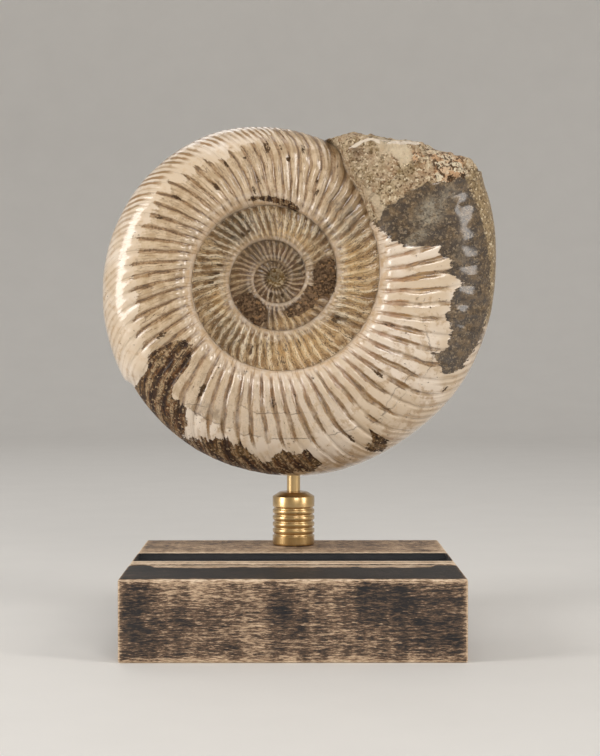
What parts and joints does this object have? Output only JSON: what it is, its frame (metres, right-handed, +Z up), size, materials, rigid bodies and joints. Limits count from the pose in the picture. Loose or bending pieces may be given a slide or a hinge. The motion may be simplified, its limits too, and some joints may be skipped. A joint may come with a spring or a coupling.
{
  "type": "ammonite fossil on a display stand",
  "caption": "Polished ammonite fossil with an open ribbed coil and a broken rock-filled mouth, upright on a pin in a grooved brass socket on a painted wooden block with a channel across its top.",
  "frame": {"origin": "centre of the wooden base's underside", "axes": "+Z up, +X to the right seen from the front, -Y towards the viewer, who sees the coil's face"},
  "size_m": [0.1983, 0.1589, 0.2463],
  "materials": {
    "fossil_shell": "polished cream and brown fossil shell with rough grey-brown rock",
    "satin_brass": "satin turned brass",
    "painted_wood": "charcoal paint rubbed back to bare wood along edges and grain"
  },
  "bodies": {
    "root": {"ammonite": "fossil_shell", "brass_pin": "satin_brass", "brass_socket": "satin_brass", "wood_base": "painted_wood"}
  },
  "joints": []
}
